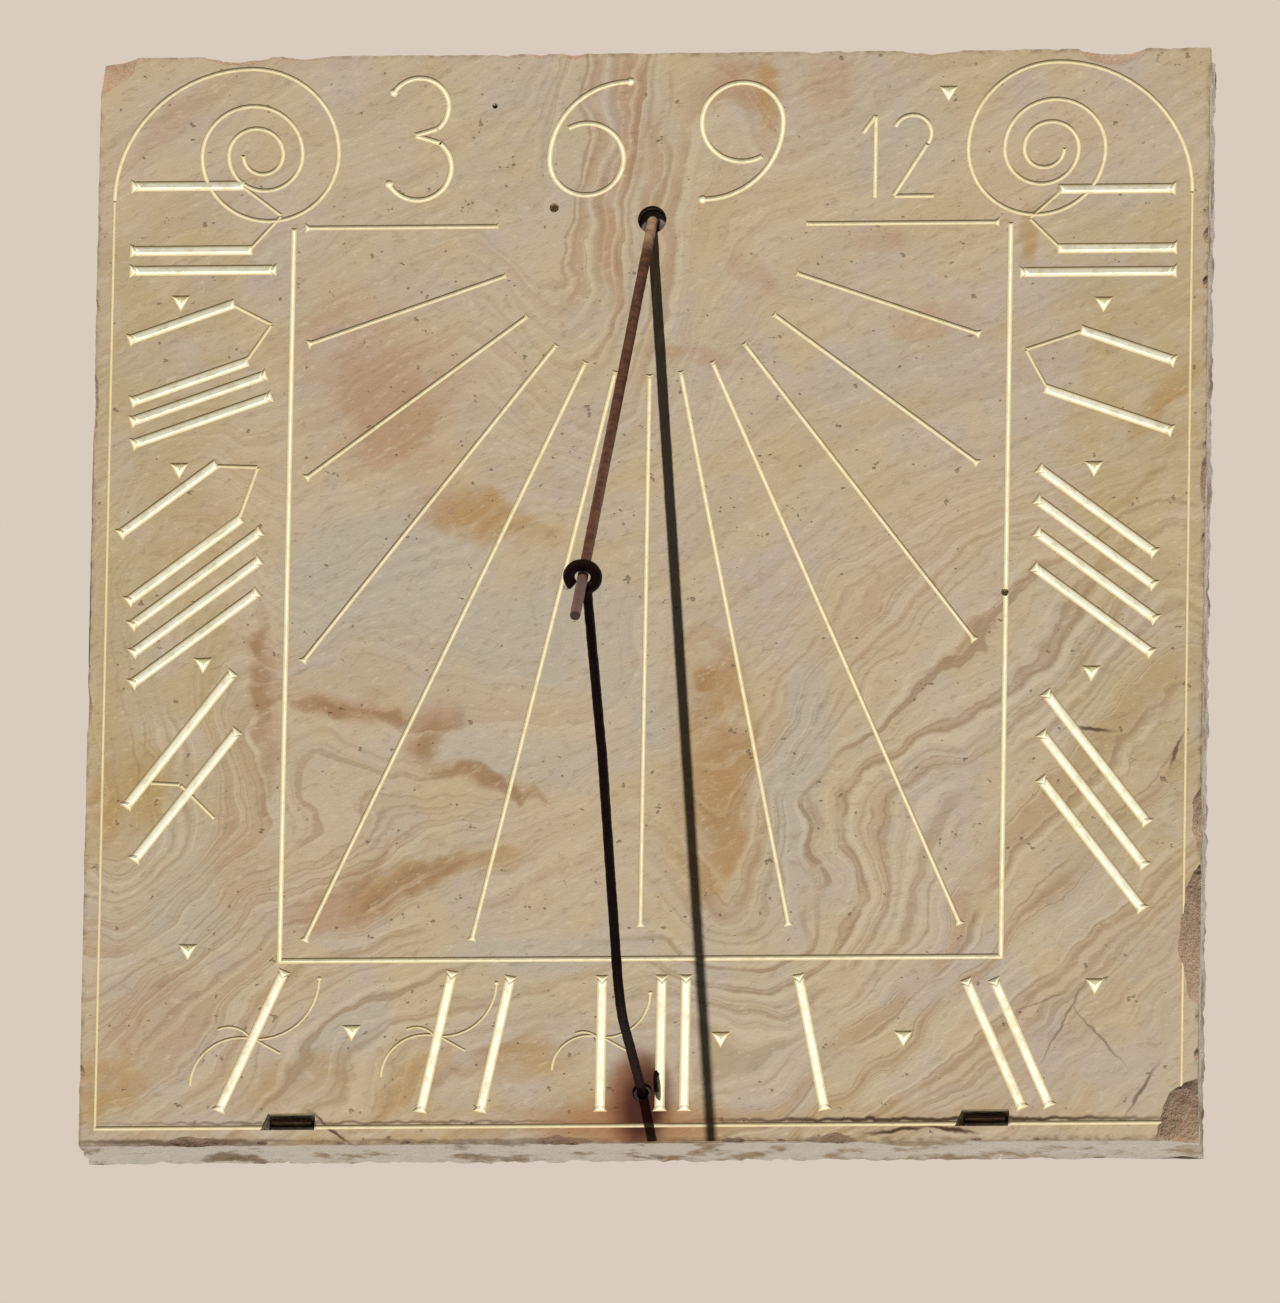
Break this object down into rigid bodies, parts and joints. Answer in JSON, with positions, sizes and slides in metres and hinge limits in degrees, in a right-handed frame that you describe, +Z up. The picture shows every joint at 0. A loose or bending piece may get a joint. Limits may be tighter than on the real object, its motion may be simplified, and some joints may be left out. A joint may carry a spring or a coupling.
{
  "type": "vertical wall sundial",
  "caption": "Square sandstone wall sundial with V-cut hour lines and numerals, an iron rod gnomon and its bent iron strut.",
  "frame": {"origin": "centre of the slab's flat back face, where it meets the wall", "axes": "+Y points into the wall, the dial faces -Y, +Z is up, +X is to the right for someone facing the dial"},
  "size_m": [0.6, 0.4699, 0.602],
  "materials": {
    "sandstone": "weathered, banded, V-cut",
    "rod_iron": "rusted wrought iron, matt",
    "strut_iron": "dark rust, matt",
    "cramp_iron": "forge scale and rust",
    "old_lead": "dull oxidised lead"
  },
  "bodies": {
    "root": {"dial_slab": "sandstone", "gnomon_rod": "rod_iron", "gnomon_lead": "old_lead", "strut_bar": "strut_iron", "strut_lead": "old_lead", "strut_staple": "strut_iron", "top_cramp_left": "cramp_iron", "top_cramp_right": "cramp_iron", "bottom_cramp_left": "cramp_iron", "bottom_cramp_right": "cramp_iron", "top_lead_left": "old_lead", "top_lead_right": "old_lead", "bottom_lead_left": "old_lead", "bottom_lead_right": "old_lead"}
  },
  "joints": []
}
